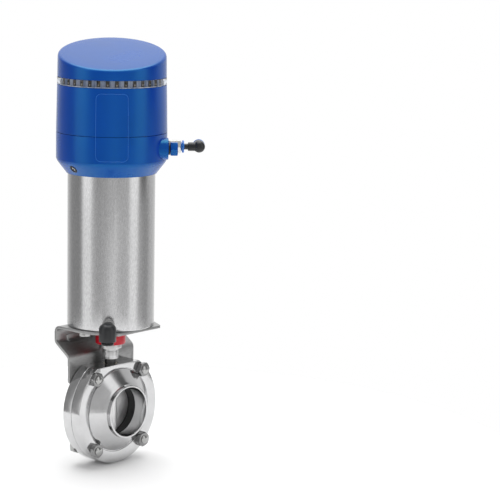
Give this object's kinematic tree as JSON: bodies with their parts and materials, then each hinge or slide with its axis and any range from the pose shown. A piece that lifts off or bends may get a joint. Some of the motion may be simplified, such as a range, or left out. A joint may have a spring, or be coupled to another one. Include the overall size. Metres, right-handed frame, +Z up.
{
  "type": "pneumatic butterfly valve",
  "caption": "Hygienic weld-end butterfly valve turned by a spring-return air actuator in a steel tube, with a round blue control head and push-in air fittings.",
  "frame": {"origin": "where the stem's axis crosses the pipe's axis, in the middle of the disc", "axes": "+Z up along the stem, +X along the pipe towards the end seen in the picture, +Y across the pipe"},
  "size_m": [0.1191, 0.126, 0.4147],
  "materials": {
    "machined_steel": "machined, satin",
    "tube_steel": "brushed along the tube",
    "sheet_steel": "cold-rolled, bright",
    "bolt_steel": "stainless fasteners",
    "spring_steel": "dark, oiled",
    "seal_rubber": "black elastomer",
    "bush_plastic": "natural bearing plastic",
    "indicator_red": "red, semi-gloss",
    "aluminium": "turned",
    "head_blue": "satin blue moulding",
    "clear_lens": "clear moulded lens",
    "led_dark": "dark amber light windows",
    "board_green": "circuit board",
    "black_plastic": "black moulding",
    "release_blue": "light blue push ring",
    "nickel": "nickel-plated brass"
  },
  "bodies": {
    "frame": {"front_body_half": "machined_steel", "back_body_half": "machined_steel", "seat_seal": "seal_rubber", "upper_stem_bush": "bush_plastic", "stem_o_ring": "seal_rubber", "lower_stem_bush": "bush_plastic", "bolt_upper_left": "bolt_steel", "bolt_upper_right": "bolt_steel", "bolt_lower_left": "bolt_steel", "bolt_lower_right": "bolt_steel", "nut_upper_left": "bolt_steel", "nut_upper_right": "bolt_steel", "nut_lower_left": "bolt_steel", "nut_lower_right": "bolt_steel", "mounting_bracket": "sheet_steel", "bracket_screw_left": "bolt_steel", "bracket_screw_right": "bolt_steel", "actuator_tube": "tube_steel", "bottom_cap": "aluminium", "bottom_cap_o_ring": "seal_rubber", "top_cap": "aluminium", "guide_tube": "machined_steel", "shaft_bush": "bush_plastic", "shaft_seal": "seal_rubber", "thrust_washer": "bush_plastic", "cam_bush": "bush_plastic", "main_spring": "spring_steel", "air_elbow_stud": "nickel", "head_adapter": "head_blue", "adapter_screw": "bolt_steel", "adapter_screw_ring": "black_plastic", "lower_housing": "head_blue", "upper_housing": "head_blue", "control_board": "board_green", "solenoid_valve": "black_plastic", "light_ring": "clear_lens", "led_ring": "led_dark", "top_cover": "head_blue", "cable_gland": "black_plastic", "gland_nut": "head_blue", "supply_fitting": "nickel"},
    "stem": {"disc": "machined_steel", "stem_coupling": "machined_steel", "coupling_collar": "machined_steel", "indicator_ring": "indicator_red", "cam_shaft": "machined_steel", "position_target": "aluminium"},
    "piston": {"piston": "aluminium", "piston_seal": "seal_rubber", "piston_bore_seal": "seal_rubber", "cross_pin": "machined_steel"},
    "air_elbow": {"air_elbow": "black_plastic"},
    "air_elbow_release": {"air_elbow_release_ring": "black_plastic"},
    "supply_release": {"supply_release_ring": "release_blue"},
    "plug_elbow": {"plug_elbow": "black_plastic"},
    "plug_elbow_release": {"plug_elbow_release_ring": "release_blue"}
  },
  "joints": [
    {"name": "piston_slide", "type": "slide", "parent": "frame", "child": "piston", "axis": [0, 0, 1], "range_m": [0, 0.03], "stiffness_N_per_m": 1500, "springref_m": -0.02, "deforming": ["main_spring"]},
    {"name": "disc_turn", "type": "hinge", "parent": "frame", "child": "stem", "pos_m": [0, 0, 0], "axis": [0, 0, 1], "range_deg": [0, 90]},
    {"name": "air_elbow_swivel", "type": "hinge", "parent": "frame", "child": "air_elbow", "pos_m": [0.03854, -0.04281, 0.091], "axis": [0.6691, -0.7431, 0], "continuous": true},
    {"name": "air_elbow_release_press", "type": "slide", "parent": "air_elbow", "child": "air_elbow_release", "axis": [0, 0, 1], "range_m": [0, 0.001], "stiffness_N_per_m": 300},
    {"name": "supply_release_press", "type": "slide", "parent": "frame", "child": "supply_release", "axis": [-0.7071, -0.7071, 0], "range_m": [0, 0.001], "stiffness_N_per_m": 300},
    {"name": "plug_elbow_swivel", "type": "hinge", "parent": "frame", "child": "plug_elbow", "pos_m": [0.05982, 0.05982, 0.26], "axis": [0.7071, 0.7071, 0], "continuous": true},
    {"name": "plug_elbow_release_press", "type": "slide", "parent": "plug_elbow", "child": "plug_elbow_release", "axis": [0.7071, -0.7071, 0], "range_m": [0, 0.001], "stiffness_N_per_m": 300}
  ],
  "couplings": [
    {"joint": "disc_turn", "follows": "piston_slide", "rad_per_m": 52.36}
  ]
}
